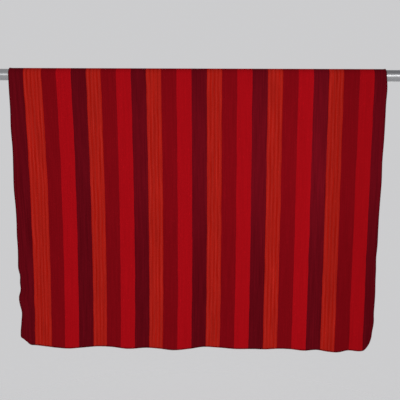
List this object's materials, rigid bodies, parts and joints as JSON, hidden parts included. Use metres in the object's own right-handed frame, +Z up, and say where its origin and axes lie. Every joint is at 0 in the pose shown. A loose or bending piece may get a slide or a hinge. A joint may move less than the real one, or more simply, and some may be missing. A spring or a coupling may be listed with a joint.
{
  "type": "maasai shuka blanket hanging over a round rod",
  "caption": "Thick striped wool cloth draped over a plain round metal rod, with a long front fall and a shorter back fall.",
  "frame": {"origin": "middle of the rod, on its axis, which is also the middle of the blanket's width", "axes": "+X along the rod to the right as seen from the front, +Y to the back, +Z up; the long fall hangs on the -Y side"},
  "size_m": [1.8, 0.0707, 1.1554],
  "materials": {
    "shuka_wool": "matte, softly napped wool",
    "rod_steel": "polished"
  },
  "bodies": {
    "root": {"shuka": "shuka_wool", "rod": "rod_steel"}
  },
  "joints": []
}
